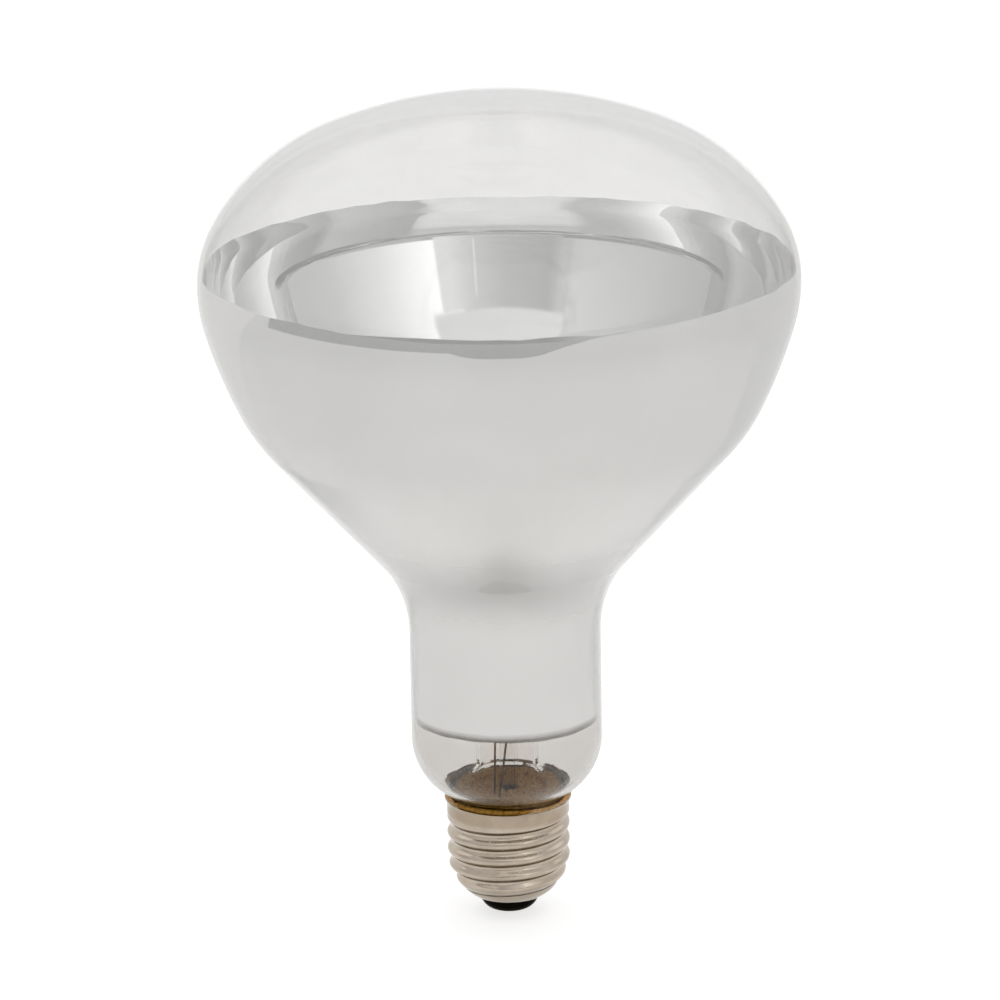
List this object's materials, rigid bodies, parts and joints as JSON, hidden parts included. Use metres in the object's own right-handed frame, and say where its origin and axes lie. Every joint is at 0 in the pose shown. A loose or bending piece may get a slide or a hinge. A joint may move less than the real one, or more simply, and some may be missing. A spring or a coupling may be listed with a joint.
{
  "type": "infrared heat lamp bulb",
  "caption": "Blown reflector bulb for infrared heat, with a clear domed front, a silvered bowl and neck, and a screw cap with a black insulator.",
  "frame": {"origin": "middle of the flat on the centre contact, at the foot of the cap", "axes": "+Z along the lamp from the cap to the dome, -Y towards the viewer of the picture, +X to the viewer's right"},
  "size_m": [0.125, 0.125, 0.1774],
  "materials": {
    "clear_glass": "gloss",
    "mirror_film": "gloss",
    "tungsten": "satin",
    "nickel_wire": "satin",
    "support_wire": "satin",
    "copper_wire": "satin",
    "cap_metal": "satin",
    "black_insulator": "gloss",
    "contact_brass": "satin",
    "solder": "satin",
    "brown_cement": "matte"
  },
  "bodies": {
    "root": {"glass_envelope": "clear_glass", "stem_flare": "clear_glass", "exhaust_tube": "clear_glass", "arbor": "clear_glass", "reflector_film": "mirror_film", "filament": "tungsten", "inner_lead_right": "nickel_wire", "inner_lead_left": "nickel_wire", "seal_wire_right": "copper_wire", "seal_wire_left": "copper_wire", "outer_lead_centre": "copper_wire", "outer_lead_side": "copper_wire", "cap_shell": "cap_metal", "cap_insulator": "black_insulator", "contact_plate": "contact_brass", "centre_solder": "solder", "side_solder": "solder", "capping_cement": "brown_cement", "filament_support_1": "support_wire", "filament_support_2": "support_wire", "filament_support_3": "support_wire", "filament_support_4": "support_wire", "filament_support_5": "support_wire"}
  },
  "joints": []
}
